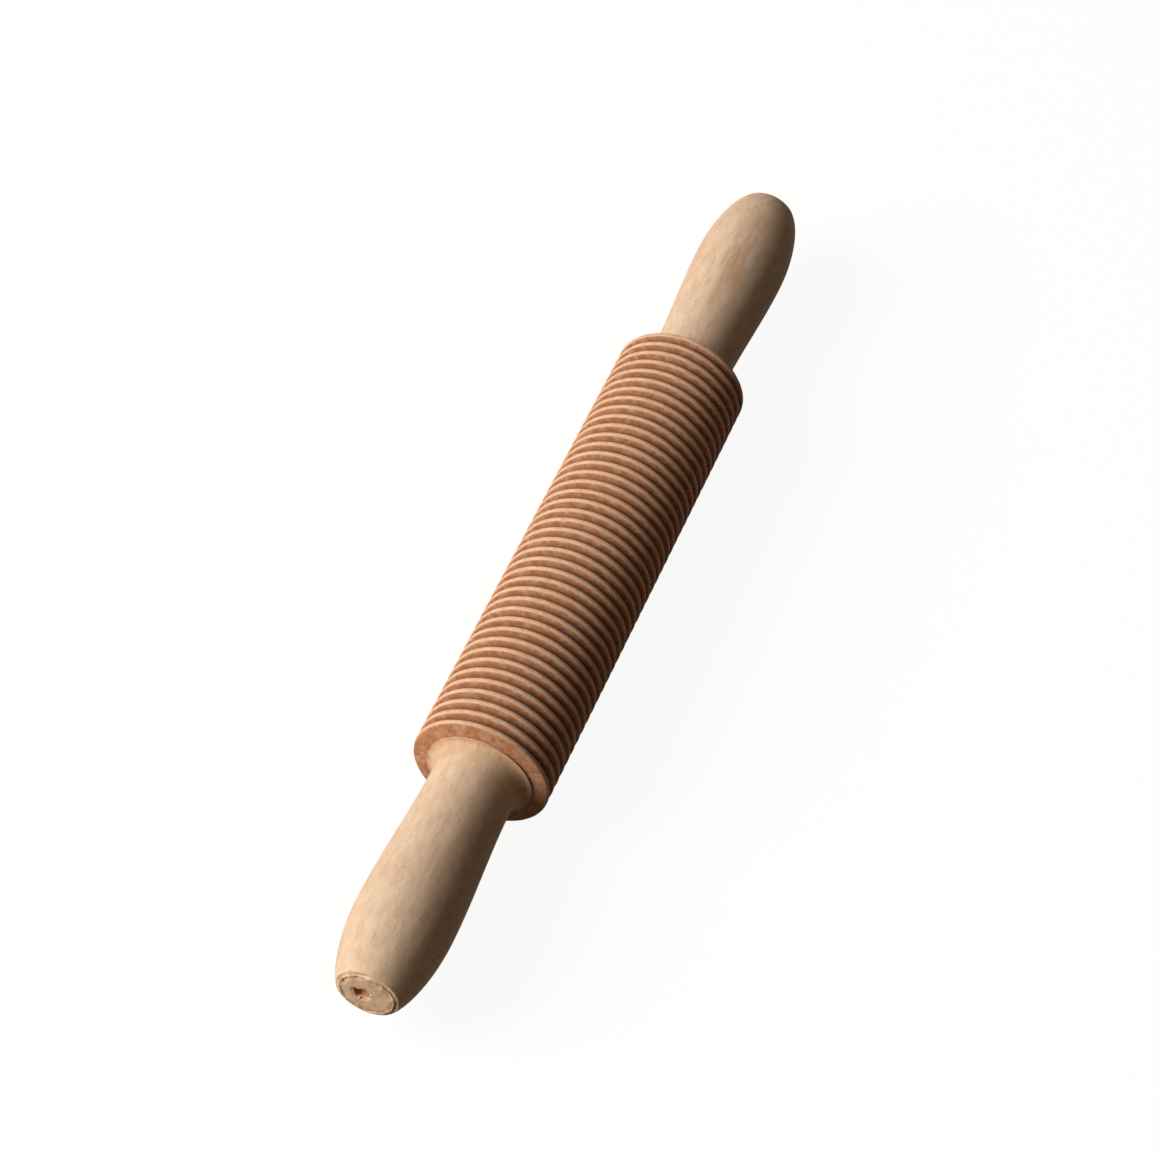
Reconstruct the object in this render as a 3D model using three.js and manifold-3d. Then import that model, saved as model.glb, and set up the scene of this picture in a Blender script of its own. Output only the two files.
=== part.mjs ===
import * as THREE from "three";
import { mergeVertices } from "three/addons/utils/BufferGeometryUtils.js";
import Module from "manifold-3d";

// A ridged rolling pin that cuts rolled dough into strands.
// Millimetres. X runs along the pin, +Z is up, and the barrel's lowest ridges lie on z = 0.

// Whole pin
const TOTAL_LENGTH = 322;
const FACETS = 24;

// Ridged barrel
const BARREL_DIAMETER = 41;
const RIDGE_COUNT = 41;
const RIDGE_PITCH = 4;
const RIDGE_CREST_WIDTH = 1.6;
const RIDGE_BASE_WIDTH = 2.6;
const GROOVE_DEPTH = 2.8;
const END_FACE_LEAN = 0.5;

// Handles
const COLLAR_DIAMETER = 31.6;
const COVE_LENGTH = 5.6;
const NECK_DIAMETER = 24.8;
const SWELL_DIAMETER = 28.7;
const HANDLE_END_DIAMETER = 16;
const SWELL_SHARE = 0.66;
const CROWN_FULLNESS = 0.68;
const CENTRE_HOLE_DIAMETER = 4.4;
const CENTRE_HOLE_DEPTH = 6;
const CENTRE_HOLE_OFFSET = 1.6;

// Axle and its screw tips
const AXLE_DIAMETER = 8;
const TIP_DIAMETER = 6;
const TIP_LENGTH = 18;
const TIP_CHAMFER = 0.8;

// Bushes, thrust washers and screw inserts
const BUSH_WALL = 2;
const BUSH_LENGTH = 16;
const FLANGE_LIP = 1.6;
const FLANGE_THICKNESS = 1.5;
const WASHER_THICKNESS = 1.2;
const INSERT_WALL = 2;
const INSERT_LENGTH = 15;

// Fits
const RUNNING_CLEARANCE = 0.1;
const SEAT_GAP = 0.1;
const END_PLAY = 0.15;
const SEAM_GAP = 0.25;
const RECESS_CLEARANCE = 0.5;
const CHANNEL_CLEARANCE = 1;
const TIP_END_ROOM = 3;

// Curve resolution
const COVE_STEPS = 5;
const NECK_STEPS = 6;
const CROWN_STEPS = 7;

// Values that the dimensions above set
const barrelRadius = BARREL_DIAMETER / 2;
const rootRadius = barrelRadius - GROOVE_DEPTH;
const lastCrest = ((RIDGE_COUNT - 1) * RIDGE_PITCH) / 2;
const barrelEnd = lastCrest + RIDGE_CREST_WIDTH / 2 + END_FACE_LEAN;
const handleStart = barrelEnd + SEAM_GAP;
const handleEnd = TOTAL_LENGTH / 2;
const handleLength = handleEnd - handleStart;
const collarRadius = COLLAR_DIAMETER / 2;
const neckRadius = NECK_DIAMETER / 2;
const swellRadius = SWELL_DIAMETER / 2;
const endRadius = HANDLE_END_DIAMETER / 2;

const axleRadius = AXLE_DIAMETER / 2;
const tipRadius = TIP_DIAMETER / 2;
const bushBore = axleRadius + RUNNING_CLEARANCE;
const bushRadius = bushBore + BUSH_WALL;
const bushFlangeRadius = bushRadius + FLANGE_LIP;
const insertBore = tipRadius + SEAT_GAP;
const insertRadius = insertBore + INSERT_WALL;
const insertFlangeRadius = insertRadius + FLANGE_LIP;
const recessRadius = bushFlangeRadius + RECESS_CLEARANCE;

// The washer and the bush's flange fill the recess and reach across the seam to the handle.
const washerEnd = handleStart - END_PLAY;
const washerStart = washerEnd - WASHER_THICKNESS;
const bushEnd = washerStart - END_PLAY;
const bushShoulder = bushEnd - FLANGE_THICKNESS;
const bushStart = bushEnd - BUSH_LENGTH;
const recessFloor = bushShoulder - SEAT_GAP;

const wasm = await Module();
wasm.setup();

const halfFacet = Math.PI / FACETS;

// Turns a profile of [x, radius] pairs about the pin's axis.
// Each radius is measured to the flat of a facet, and one facet faces straight down.
function turned(profile) {
  const points = profile.map(([x, radius]) => new THREE.Vector2(radius / Math.cos(halfFacet), x));
  const geometry = new THREE.LatheGeometry(points, FACETS, halfFacet);
  geometry.rotateZ(-Math.PI / 2);
  geometry.translate(0, 0, barrelRadius);
  return geometry;
}

function solidOf(geometry) {
  const bare = geometry.clone();
  bare.deleteAttribute("normal");
  bare.deleteAttribute("uv");
  const merged = mergeVertices(bare, 1e-3);
  const vertProperties = merged.attributes.position.array;
  const triVerts = new Uint32Array(merged.index.array);
  return new wasm.Manifold(new wasm.Mesh({ numProp: 3, vertProperties, triVerts }));
}

function geometryOf(solid) {
  const mesh = solid.getMesh();
  const geometry = new THREE.BufferGeometry();
  geometry.setAttribute("position", new THREE.BufferAttribute(mesh.vertProperties, 3));
  geometry.setIndex(new THREE.BufferAttribute(mesh.triVerts, 1));
  geometry.computeVertexNormals();
  return geometry;
}

// The barrel: ridges along the outside, and a channel with a bush seat and a recess at each end.
function barrelGeometry() {
  const outside = [];
  for (let i = 0; i < RIDGE_COUNT; i++) {
    const centre = i * RIDGE_PITCH - lastCrest;
    outside.push([centre - RIDGE_BASE_WIDTH / 2, rootRadius]);
    outside.push([centre - RIDGE_CREST_WIDTH / 2, barrelRadius]);
    outside.push([centre + RIDGE_CREST_WIDTH / 2, barrelRadius]);
    outside.push([centre + RIDGE_BASE_WIDTH / 2, rootRadius]);
  }
  // The outer side of each end ridge is the barrel's end face, which leans out to the collar.
  outside[0] = [-barrelEnd, collarRadius];
  outside[outside.length - 1] = [barrelEnd, collarRadius];
  const channelRadius = axleRadius + CHANNEL_CLEARANCE;
  const seatRadius = bushRadius + SEAT_GAP;
  const seatEnd = bushStart - SEAT_GAP;
  const inside = [
    [barrelEnd, recessRadius],
    [recessFloor, recessRadius],
    [recessFloor, seatRadius],
    [seatEnd, seatRadius],
    [seatEnd, channelRadius],
  ];
  const insideOtherEnd = inside.map(([x, radius]) => [-x, radius]).reverse();
  return turned([...outside, ...inside, ...insideOtherEnd, outside[0]]);
}

// The handle's outside from its collar to its end face: a hollow cove, a neck that swells, a crown.
function handleOutline() {
  const coveEnd = handleStart + COVE_LENGTH;
  const swellStart = handleStart + SWELL_SHARE * handleLength;
  const outline = [];
  for (let i = 0; i < COVE_STEPS; i++) {
    const angle = (i / COVE_STEPS) * (Math.PI / 2);
    const x = coveEnd - COVE_LENGTH * Math.cos(angle);
    outline.push([x, collarRadius - (collarRadius - neckRadius) * Math.sin(angle)]);
  }
  for (let i = 0; i < NECK_STEPS; i++) {
    const share = i / NECK_STEPS;
    const rise = THREE.MathUtils.smoothstep(share, 0, 1);
    const x = coveEnd + share * (swellStart - coveEnd);
    outline.push([x, neckRadius + rise * (swellRadius - neckRadius)]);
  }
  for (let i = 0; i <= CROWN_STEPS; i++) {
    const share = Math.sin((i / CROWN_STEPS) * (Math.PI / 2));
    const width = Math.pow(1 - share * share, CROWN_FULLNESS);
    const x = swellStart + share * (handleEnd - swellStart);
    outline.push([x, endRadius + width * (swellRadius - endRadius)]);
  }
  return outline;
}

// The handle: bored for the screw insert and the axle's tip, with a turning-centre hole in its end.
function handleGeometry() {
  const tipHoleRadius = insertBore + SEAT_GAP;
  const tipHoleEnd = handleStart + TIP_LENGTH + TIP_END_ROOM;
  const insertSeatRadius = insertRadius + SEAT_GAP;
  const insertSeatEnd = handleStart + INSERT_LENGTH + SEAT_GAP;
  const flangeSeatRadius = insertFlangeRadius + SEAT_GAP;
  const flangeSeatEnd = handleStart + FLANGE_THICKNESS + SEAT_GAP;
  const blank = turned([
    [tipHoleEnd, 0],
    [tipHoleEnd, tipHoleRadius],
    [insertSeatEnd, tipHoleRadius],
    [insertSeatEnd, insertSeatRadius],
    [flangeSeatEnd, insertSeatRadius],
    [flangeSeatEnd, flangeSeatRadius],
    [handleStart, flangeSeatRadius],
    ...handleOutline(),
    [handleEnd, 0],
  ]);
  const holeRadius = CENTRE_HOLE_DIAMETER / 2;
  const centreHole = turned([
    [handleEnd - CENTRE_HOLE_DEPTH, 0],
    [handleEnd - CENTRE_HOLE_DEPTH, holeRadius],
    [handleEnd + CENTRE_HOLE_DEPTH, holeRadius],
    [handleEnd + CENTRE_HOLE_DEPTH, 0],
  ]);
  centreHole.translate(0, -CENTRE_HOLE_OFFSET, 0);
  return geometryOf(solidOf(blank).subtract(solidOf(centreHole)));
}

// The axle: a plain shank as long as the space between the handles, with a screw tip at each end.
function axleGeometry() {
  const shankEnd = handleStart - SEAT_GAP;
  const tipEnd = shankEnd + TIP_LENGTH;
  const half = [
    [shankEnd, axleRadius],
    [shankEnd, tipRadius],
    [tipEnd - TIP_CHAMFER, tipRadius],
    [tipEnd, tipRadius - TIP_CHAMFER],
    [tipEnd, 0],
  ];
  const otherHalf = half.map(([x, radius]) => [-x, radius]).reverse();
  return turned([...otherHalf, ...half]);
}

function bushGeometry() {
  const profile = [
    [bushStart, bushBore],
    [bushStart, bushRadius],
    [bushShoulder, bushRadius],
    [bushShoulder, bushFlangeRadius],
    [bushEnd, bushFlangeRadius],
    [bushEnd, bushBore],
  ];
  return turned([...profile, profile[0]]);
}

function washerGeometry() {
  const profile = [
    [washerStart, bushBore],
    [washerStart, bushFlangeRadius],
    [washerEnd, bushFlangeRadius],
    [washerEnd, bushBore],
  ];
  return turned([...profile, profile[0]]);
}

function insertGeometry() {
  const flangeEnd = handleStart + FLANGE_THICKNESS;
  const insertEnd = handleStart + INSERT_LENGTH;
  const profile = [
    [handleStart, insertBore],
    [handleStart, insertFlangeRadius],
    [flangeEnd, insertFlangeRadius],
    [flangeEnd, insertRadius],
    [insertEnd, insertRadius],
    [insertEnd, insertBore],
  ];
  return turned([...profile, profile[0]]);
}

const handleBeech = new THREE.MeshStandardMaterial({ color: 0xe3c19b, roughness: 0.7, metalness: 0 });
const barrelBeech = new THREE.MeshStandardMaterial({ color: 0xc88f66, roughness: 0.7, metalness: 0 });
const steel = new THREE.MeshStandardMaterial({ color: 0xb4b6b8, roughness: 0.35, metalness: 1 });
const nylon = new THREE.MeshStandardMaterial({ color: 0xe9e6dc, roughness: 0.5, metalness: 0 });
const brass = new THREE.MeshStandardMaterial({ color: 0xc8a24c, roughness: 0.35, metalness: 1 });

const pin = new THREE.Group();
pin.name = "pasta_cutter_rolling_pin";

function add(name, geometry, material) {
  const mesh = new THREE.Mesh(geometry, material);
  mesh.name = name;
  pin.add(mesh);
}

// Both ends hold the same pieces, so the left one is the right one turned half round about Z.
function addPair(name, geometry, material) {
  add(name + "_right", geometry, material);
  add(name + "_left", geometry.clone().rotateZ(Math.PI), material);
}

add("cutter_barrel", barrelGeometry(), barrelBeech);
add("axle_rod", axleGeometry(), steel);
addPair("handle", handleGeometry(), handleBeech);
addPair("insert", insertGeometry(), brass);
addPair("bush", bushGeometry(), nylon);
addPair("washer", washerGeometry(), steel);

export default pin;
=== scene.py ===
"""A pasta cutter rolling pin: beech handles on a steel axle, and a ridged beech barrel that turns on it.

The file is laid out as a Blender add-on and is run as a script. All sizes are in metres, in the frame
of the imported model: X runs along the pin, +Z is up, and the barrel's lowest ridges lie on z = 0.
"""

import math
from functools import partial

import bmesh
import bpy
from bpy.props import FloatProperty, FloatVectorProperty, IntProperty, PointerProperty
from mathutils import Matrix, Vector


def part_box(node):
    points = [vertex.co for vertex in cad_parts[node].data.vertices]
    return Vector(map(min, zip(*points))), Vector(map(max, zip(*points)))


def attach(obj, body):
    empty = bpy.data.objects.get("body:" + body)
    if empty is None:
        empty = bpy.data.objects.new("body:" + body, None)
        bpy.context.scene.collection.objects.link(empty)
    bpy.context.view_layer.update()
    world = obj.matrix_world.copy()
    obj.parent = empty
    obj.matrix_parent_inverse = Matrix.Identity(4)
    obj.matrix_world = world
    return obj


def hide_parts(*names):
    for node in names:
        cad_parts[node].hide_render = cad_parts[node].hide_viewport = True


bl_info = {
    "name": "Pasta cutter rolling pin",
    "version": (1, 0, 0),
    "blender": (4, 5, 0),
    "location": "3D View > Sidebar > Rolling pin",
    "description": "Models a ridged rolling pin over its packed solids, with its materials and studio",
    "category": "Add Mesh",
}

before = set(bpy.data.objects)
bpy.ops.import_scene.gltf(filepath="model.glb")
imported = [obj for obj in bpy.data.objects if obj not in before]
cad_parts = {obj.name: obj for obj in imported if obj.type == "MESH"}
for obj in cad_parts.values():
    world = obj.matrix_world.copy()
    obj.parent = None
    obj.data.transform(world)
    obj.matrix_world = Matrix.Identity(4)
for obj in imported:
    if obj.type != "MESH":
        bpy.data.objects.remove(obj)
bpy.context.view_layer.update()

MM = 0.001
SAME_POINT = 1e-6
CREASE_ANGLE = math.radians(35)
SENSOR_WIDTH = 36
barrel_low, barrel_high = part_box("cutter_barrel")
handle_low, handle_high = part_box("handle_right")
AXIS_HEIGHT = (barrel_low.z + barrel_high.z) / 2
BARREL_END = barrel_high.x
HANDLE_START = handle_low.x
HANDLE_END = handle_high.x


# Settings

def linear(hex_colour):
    """The linear colour of an sRGB hex value."""
    channels = [int(hex_colour[i : i + 2], 16) / 255 for i in (1, 3, 5)]
    return tuple(c / 12.92 if c <= 0.04045 else ((c + 0.055) / 1.055) ** 2.4 for c in channels)


def length(name, description, millimetres):
    """A length setting, given in millimetres and kept in metres."""
    return FloatProperty(
        name=name, description=description, default=millimetres * MM, min=0, precision=5, unit="LENGTH"
    )


def share(name, description, value):
    """A setting between 0 and 1."""
    return FloatProperty(name=name, description=description, default=value, min=0, max=1, subtype="FACTOR")


def angle(name, description, degrees):
    """An angle setting, given in degrees and kept in radians."""
    return FloatProperty(
        name=name, description=description, default=math.radians(degrees), unit="ROTATION"
    )


def colour(name, description, hex_colour):
    """A colour setting, given as an sRGB hex value and kept linear."""
    return FloatVectorProperty(
        name=name, description=description, default=linear(hex_colour), size=3, min=0, max=1, subtype="COLOR"
    )


class BarrelSizes(bpy.types.PropertyGroup):
    """The ridged barrel, outside and inside."""

    ridge_count: IntProperty(name="Ridges", description="Ridges along the barrel", default=41, min=4)
    ridge_pitch: length("Ridge pitch", "From one crest to the next", 4)
    crest_width: length("Crest width", "Width of a ridge across its top, before rounding", 1.6)
    base_width: length("Base width", "Width of a ridge where it leaves the groove", 2.6)
    groove_depth: length("Groove depth", "From a crest down to the groove", 2.8)
    crest_round: length("Crest rounding", "Radius along the top edges of a ridge", 0.62)
    root_round: length("Groove rounding", "Radius along the bottom corners of a groove", 0.5)
    end_round: length("End rounding", "Radius along the outer edge of each end ridge", 0.7)
    end_face: length("End face", "Diameter at which the leaning end face meets the handle", 31.6)
    recess_diameter: length("Recess diameter", "Recess for the washer in each end", 16.4)
    recess_depth: length("Recess depth", "Depth of that recess", 2.85)
    recess_round: length("Recess rounding", "Radius along the edge of that recess", 0.2)
    seat_diameter: length("Bush seat diameter", "Bore that a bush sits in", 12.4)
    seat_depth: length("Bush seat depth", "From the barrel's end to the inner end of that bore", 17.35)
    channel_diameter: length("Channel diameter", "Bore round the axle between the bushes", 10)
    wear_depth: length("Wear depth", "How far the sanded surface wanders", 0.1)
    wear_size: length("Wear size", "Width of the hollows that the sanding leaves", 2.5)


class HandleSizes(bpy.types.PropertyGroup):
    """The two handles, outside and inside."""

    collar_diameter: length("Collar diameter", "Handle where it meets the barrel", 31.6)
    collar_lip: length("Collar lip", "Thickness of the collar's edge", 0.35)
    cove_length: length("Cove length", "Length of the hollow beside the barrel", 5.6)
    neck_diameter: length("Neck diameter", "Thinnest place of the handle", 24.8)
    swell_diameter: length("Swell diameter", "Thickest place of the handle", 28.7)
    swell_share: share("Swell place", "Share of the handle's length at which it is thickest", 0.66)
    crown_power: share("Crown power", "Power of the end's curve: lower is fuller", 0.68)
    end_diameter: length("End diameter", "Flat end of the handle", 16)
    rim_width: length("Rim width", "Torn rim that the saw leaves round the end", 0.9)
    rim_slope: length("Rim slope", "Width of the slope from that rim down to the sawn face", 0.7)
    rim_height: length("Rim height", "How far that rim stands over the sawn face", 0.3)
    rim_wear: length("Rim wear", "How deep the rim is torn", 1)
    rim_scrap: length("Rim scrap", "Width of the scraps that are torn from the rim", 3)
    face_wear: length("Face wear", "How far the sawn face wanders", 0.25)
    hole_width: length("Hole width", "Lathe mark in the end, across its mouth", 4.1)
    hole_depth: length("Hole depth", "Depth of the cutter that makes that mark", 2.6)
    hole_round: length("Hole rounding", "Radius along the corners of that mark", 0.6)
    hole_wear: length("Hole wear", "How far the mouth of that mark is worn", 0.5)
    hole_offset: length("Hole offset", "From the handle's axis to that mark", 1.6)
    hole_turn: angle("Hole turn", "How far that mark is turned about the handle's axis", 10)
    slit_width: length("Slit width", "Slit that the lathe's spur leaves below the hole", 0.6)
    slit_length: length("Slit length", "How far the slit runs down from the hole's middle", 3)
    flange_seat_diameter: length("Flange seat diameter", "Seat of the insert's flange", 13.6)
    flange_seat_depth: length("Flange seat depth", "Depth of that seat", 1.6)
    insert_seat_diameter: length("Insert seat diameter", "Bore that the insert is screwed into", 10.4)
    insert_seat_depth: length("Insert seat depth", "From the collar to the end of that bore", 15.1)
    tip_hole_diameter: length("Tip hole diameter", "Bore for the axle's tip", 6.4)
    tip_hole_depth: length("Tip hole depth", "From the collar to the end of that bore", 21)


class HardwareSizes(bpy.types.PropertyGroup):
    """The axle, bushes, washers and inserts inside the pin."""

    axle_diameter: length("Axle diameter", "Plain part of the axle", 8)
    shank_gap: length("Shank gap", "Between the end of that plain part and the insert", 0.1)
    tip_diameter: length("Tip diameter", "Outside of the axle's screw thread", 6)
    tip_chamfer: length("Tip chamfer", "Chamfer at the axle's ends", 0.8)
    tip_pitch: length("Tip pitch", "Pitch of the axle's screw thread", 1)
    tip_thread: length("Tip thread", "Depth of the axle's screw thread", 0.6)
    bush_bore: length("Bush bore", "Running bore of the bushes and washers", 8.2)
    bush_diameter: length("Bush diameter", "Bush over its ribs", 12.2)
    bush_rib: length("Bush rib", "Height of the ribs that grip the barrel", 0.15)
    rib_count: IntProperty(name="Ribs", description="Ribs round a bush", default=6, min=1)
    rib_share: share("Rib share", "Share of a bush's wall that the ribs take up", 0.17)
    flange_diameter: length("Flange diameter", "Flange of a bush, and a washer", 15.4)
    flange_thickness: length("Flange thickness", "Flange of a bush or an insert", 1.5)
    insert_bore: length("Insert bore", "Bore of an insert", 6.2)
    insert_diameter: length("Insert diameter", "Insert over its wood thread", 10.2)
    insert_flange: length("Insert flange", "Flange of an insert", 13.4)
    insert_pitch: length("Insert pitch", "Pitch of an insert's wood thread", 2.5)
    insert_thread: length("Insert thread", "Depth of an insert's wood thread", 0.8)
    slot_width: length("Slot width", "Driver slot across an insert's flange", 1.4)
    slot_depth: length("Slot depth", "Depth of that slot", 0.8)
    edge_round: length("Edge rounding", "Radius on the edges of the small parts", 0.3)
    corner_round: length("Corner rounding", "Radius in the inner corners of the small parts", 0.1)


class PinColours(bpy.types.PropertyGroup):
    """Colours of the woods, the metals and the nylon."""

    handle_wood: colour("Handle wood", "Sanded long grain of the handles", "#EED1B2")
    handle_streak: colour("Handle streak", "Darker bands of the handles' growth rings", "#D9B28F")
    handle_end: colour("Handle end grain", "Sawn end grain of the handles", "#FFD3AA")
    handle_fleck: colour("Handle fleck", "Short dark rays of the handles", "#A87B57")
    handle_scar: colour("Handle scar", "Streak in one handle, blotches in the coves, torn rims", "#B17F50")
    # The hole's colour is painted shade, mixed in more as the hole deepens
    handle_hole_shade: colour("Handle hole", "Inside of the lathe's hole", "#B4743F")
    barrel_wood: colour("Barrel wood", "Sanded crests of the barrel", "#F3CBA8")
    barrel_streak: colour("Barrel streak", "Darker bands of the barrel's growth rings", "#DFAB84")
    barrel_end: colour("Barrel end grain", "Cut end grain of the barrel's ridges", "#C58254")
    # The groove colour is partly darker cut wood and partly painted shade deep in the grooves
    barrel_groove_and_shade: colour("Barrel groove", "Grooves, where the cut wood has darkened", "#884F35")
    barrel_fleck: colour("Barrel fleck", "Short dark rays of the barrel", "#A4683F")
    steel: colour("Steel", "Turned steel of the axle and the washers", "#B9BBBD")
    nylon: colour("Nylon", "Natural nylon of the bushes", "#ECE8DC")
    nylon_shade: colour("Nylon shade", "Cloudier places of the nylon", "#DCD5C2")
    brass: colour("Brass", "Cut brass of the inserts", "#D2AC58")
    brass_tarnish: colour("Brass tarnish", "Duller places of the brass", "#A88142")


class StudioSettings(bpy.types.PropertyGroup):
    """Floor, light and camera."""

    floor: colour("Floor", "Floor as it takes light and shadow", "#61564B")
    floor_glow: share("Floor glow", "White that the floor shows the camera besides the light on it", 0.93)
    floor_size: length("Floor size", "Side of the floor", 12000)
    fill: share("Fill", "Light from all round, where direct white is 1", 0.065)
    fill_tint: colour("Fill tint", "Colour of the light from all round", "#FFE2C8")
    key_power: FloatProperty(
        name="Key power", description="Power of the large soft lamp", default=313, min=0, unit="POWER"
    )
    key_size: length("Key size", "Side of that lamp", 3250)
    key_distance: length("Key distance", "From the pin to that lamp", 5000)
    key_direction: FloatVectorProperty(
        name="Key direction", description="From the pin towards that lamp",
        default=(-0.4, 0.694, 0.6), size=3, subtype="DIRECTION",
    )
    lens: FloatProperty(
        name="Lens", description="Focal length in millimetres on a 36 mm sensor", default=112.31, min=10
    )
    target: FloatVectorProperty(
        name="Target", description="Place that the camera looks at",
        default=(-0.00291, 0.00048, 0.01834), size=3, subtype="XYZ", unit="LENGTH",
    )
    distance: length("Distance", "From the camera to its target", 1059.6)
    azimuth: angle("Azimuth", "Turn of the camera round the pin: 0 looks along +Y", -68.69)
    elevation: angle("Elevation", "Height of the camera over the horizon", 49.55)


# Outlines

def rounded(corners, steps):
    """An outline through (x, radius, rounding) corners, each turned into an arc of that radius."""
    outline = [corners[0][:2]]
    for before, corner, after in zip(corners, corners[1:], corners[2:]):
        place = Vector(corner[:2])
        rounding = corner[2] if len(corner) > 2 else 0
        if rounding == 0:
            outline.append(tuple(place))
            continue
        back = (Vector(before[:2]) - place).normalized()
        ahead = (Vector(after[:2]) - place).normalized()
        half_angle = back.angle(ahead) / 2
        centre = place + (back + ahead).normalized() * rounding / math.sin(half_angle)
        reach = rounding / math.tan(half_angle)
        start = place + back * reach - centre
        sweep = start.angle_signed(place + ahead * reach - centre)
        for i in range(steps + 1):
            turn = -sweep * i / steps
            x = start.x * math.cos(turn) - start.y * math.sin(turn)
            y = start.x * math.sin(turn) + start.y * math.cos(turn)
            outline.append((centre.x + x, centre.y + y))
    outline.append(corners[-1][:2])
    return outline


def mirrored(corners):
    """The same corners at the pin's other end, in the order that carries on from them."""
    return [(-corner[0], *corner[1:]) for corner in reversed(corners)]


# Modelling by operators

def leave_editing():
    bpy.ops.object.mode_set(mode="OBJECT")


def deselect_everything():
    if bpy.context.mode != "OBJECT":
        leave_editing()
    bpy.ops.object.select_all(action="DESELECT")


def make_active(piece):
    deselect_everything()
    piece.select_set(True)
    bpy.context.view_layer.objects.active = piece


def edit_all():
    """Enters edit mode with the whole mesh of the active piece selected."""
    bpy.ops.object.mode_set(mode="EDIT")
    bpy.ops.mesh.select_all(action="SELECT")


def select_points(test):
    """In edit mode, selects the points whose place passes the test, and what lies between them."""
    mesh = bpy.context.object.data
    bpy.ops.mesh.select_mode(type="VERT")
    shape = bmesh.from_edit_mesh(mesh)
    for point in shape.verts:
        point.select_set(bool(test(point.co)))
    shape.select_flush_mode()
    bmesh.update_edit_mesh(mesh)


def select_faces(test):
    """In edit mode, selects the faces whose middle passes the test."""
    mesh = bpy.context.object.data
    bpy.ops.mesh.select_all(action="DESELECT")
    bpy.ops.mesh.select_mode(type="FACE")
    shape = bmesh.from_edit_mesh(mesh)
    for face in shape.faces:
        face.select_set(bool(test(face.calc_center_median())))
    bmesh.update_edit_mesh(mesh)


def merge_points():
    """In edit mode, merges the points that lie in one place and selects the whole mesh."""
    bpy.ops.mesh.select_all(action="SELECT")
    bpy.ops.mesh.remove_doubles(threshold=SAME_POINT)
    bpy.ops.mesh.select_all(action="SELECT")


def close_mesh():
    """In edit mode, merges the mesh along its seams, turns its faces outwards and leaves edit mode."""
    merge_points()
    bpy.ops.mesh.normals_make_consistent(inside=False)
    leave_editing()


def start_outline(name, first):
    """A new piece that is one point over the axis, in edit mode, with that point selected."""
    deselect_everything()
    bpy.ops.mesh.primitive_plane_add(size=MM)
    piece = bpy.context.object
    piece.name = name
    piece.data.name = name
    bpy.ops.object.mode_set(mode="EDIT")
    bpy.ops.mesh.select_mode(type="VERT")
    bpy.ops.mesh.select_all(action="SELECT")
    bpy.ops.mesh.merge(type="CENTER")
    bpy.ops.transform.translate(value=(first[0], 0, AXIS_HEIGHT + first[1]))
    return piece


def draw_outline(outline):
    """Extrudes the selected point, which is the outline's first, along the rest of the outline."""
    for here, there in zip(outline, outline[1:]):
        step = (there[0] - here[0], 0, there[1] - here[1])
        bpy.ops.mesh.extrude_region_move(TRANSFORM_OT_translate={"value": step})


def spin_outline(steps):
    """Spins the drawn outline about the pin's axis and closes it."""
    merge_points()
    bpy.ops.mesh.spin(steps=steps, angle=math.tau, center=(0, 0, AXIS_HEIGHT), axis=(1, 0, 0))
    close_mesh()


def turn_piece(name, outline, steps):
    """A turned piece from a whole outline of (x, radius) points."""
    piece = start_outline(name, outline[0])
    draw_outline(outline)
    spin_outline(steps)
    return piece


def apply_modifier(piece, kind, **settings):
    make_active(piece)
    bpy.ops.object.modifier_add(type=kind)
    modifier = piece.modifiers[-1]
    for setting, value in settings.items():
        setattr(modifier, setting, value)
    bpy.ops.object.modifier_apply(modifier=modifier.name)


def wear_down(piece, depth, size, group=""):
    """Lowers the surface by up to the depth, in hollows of about that size."""
    hollows = bpy.data.textures.new("hollows", type="CLOUDS")
    hollows.noise_scale = size
    hollows.noise_depth = 4
    apply_modifier(
        piece, "DISPLACE", texture=hollows, texture_coords="LOCAL", direction="NORMAL", mid_level=1,
        strength=depth, vertex_group=group,
    )


def combine(piece, tool, operation):
    """Cuts the tool out of the piece, or joins it on, and removes the tool."""
    apply_modifier(piece, "BOOLEAN", object=tool, operation=operation, solver="EXACT")
    make_active(tool)
    bpy.ops.object.delete()
    make_active(piece)
    edit_all()
    close_mesh()


# Half the width of a screw thread at its foot and at its crest, in pitches, and how far its foot is sunk
# under the thread's root, in thread depths
THREAD_FOOT, THREAD_CREST, THREAD_SINK = 0.46, 0.08, 0.25
THREAD_STEPS = 32


def wind_thread(start, turns, pitch, root, crest):
    """A closed helical ridge about the pin's axis, sunk a little under its root."""
    foot = root - THREAD_SINK * (crest - root)
    profile = [
        (start - THREAD_FOOT * pitch, foot),
        (start - THREAD_CREST * pitch, crest),
        (start + THREAD_CREST * pitch, crest),
        (start + THREAD_FOOT * pitch, foot),
    ]
    ridge = start_outline("thread", profile[0])
    draw_outline([*profile, profile[0]])
    merge_points()
    bpy.ops.transform.translate(value=(0, 0, -AXIS_HEIGHT))
    leave_editing()
    apply_modifier(
        ridge, "SCREW", axis="X", screw_offset=pitch, iterations=turns, steps=THREAD_STEPS,
        render_steps=THREAD_STEPS, use_merge_vertices=True, merge_threshold=SAME_POINT,
    )
    edit_all()
    bpy.ops.mesh.fill_holes(sides=0)
    bpy.ops.mesh.select_all(action="SELECT")
    bpy.ops.transform.translate(value=(0, 0, AXIS_HEIGHT))
    close_mesh()
    return ridge


def block(middle, size):
    """A plain block that cuts a slot."""
    deselect_everything()
    bpy.ops.mesh.primitive_cube_add(size=1)
    tool = bpy.context.object
    edit_all()
    bpy.ops.transform.resize(value=size, center_override=(0, 0, 0))
    bpy.ops.transform.translate(value=middle)
    leave_editing()
    return tool


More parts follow.
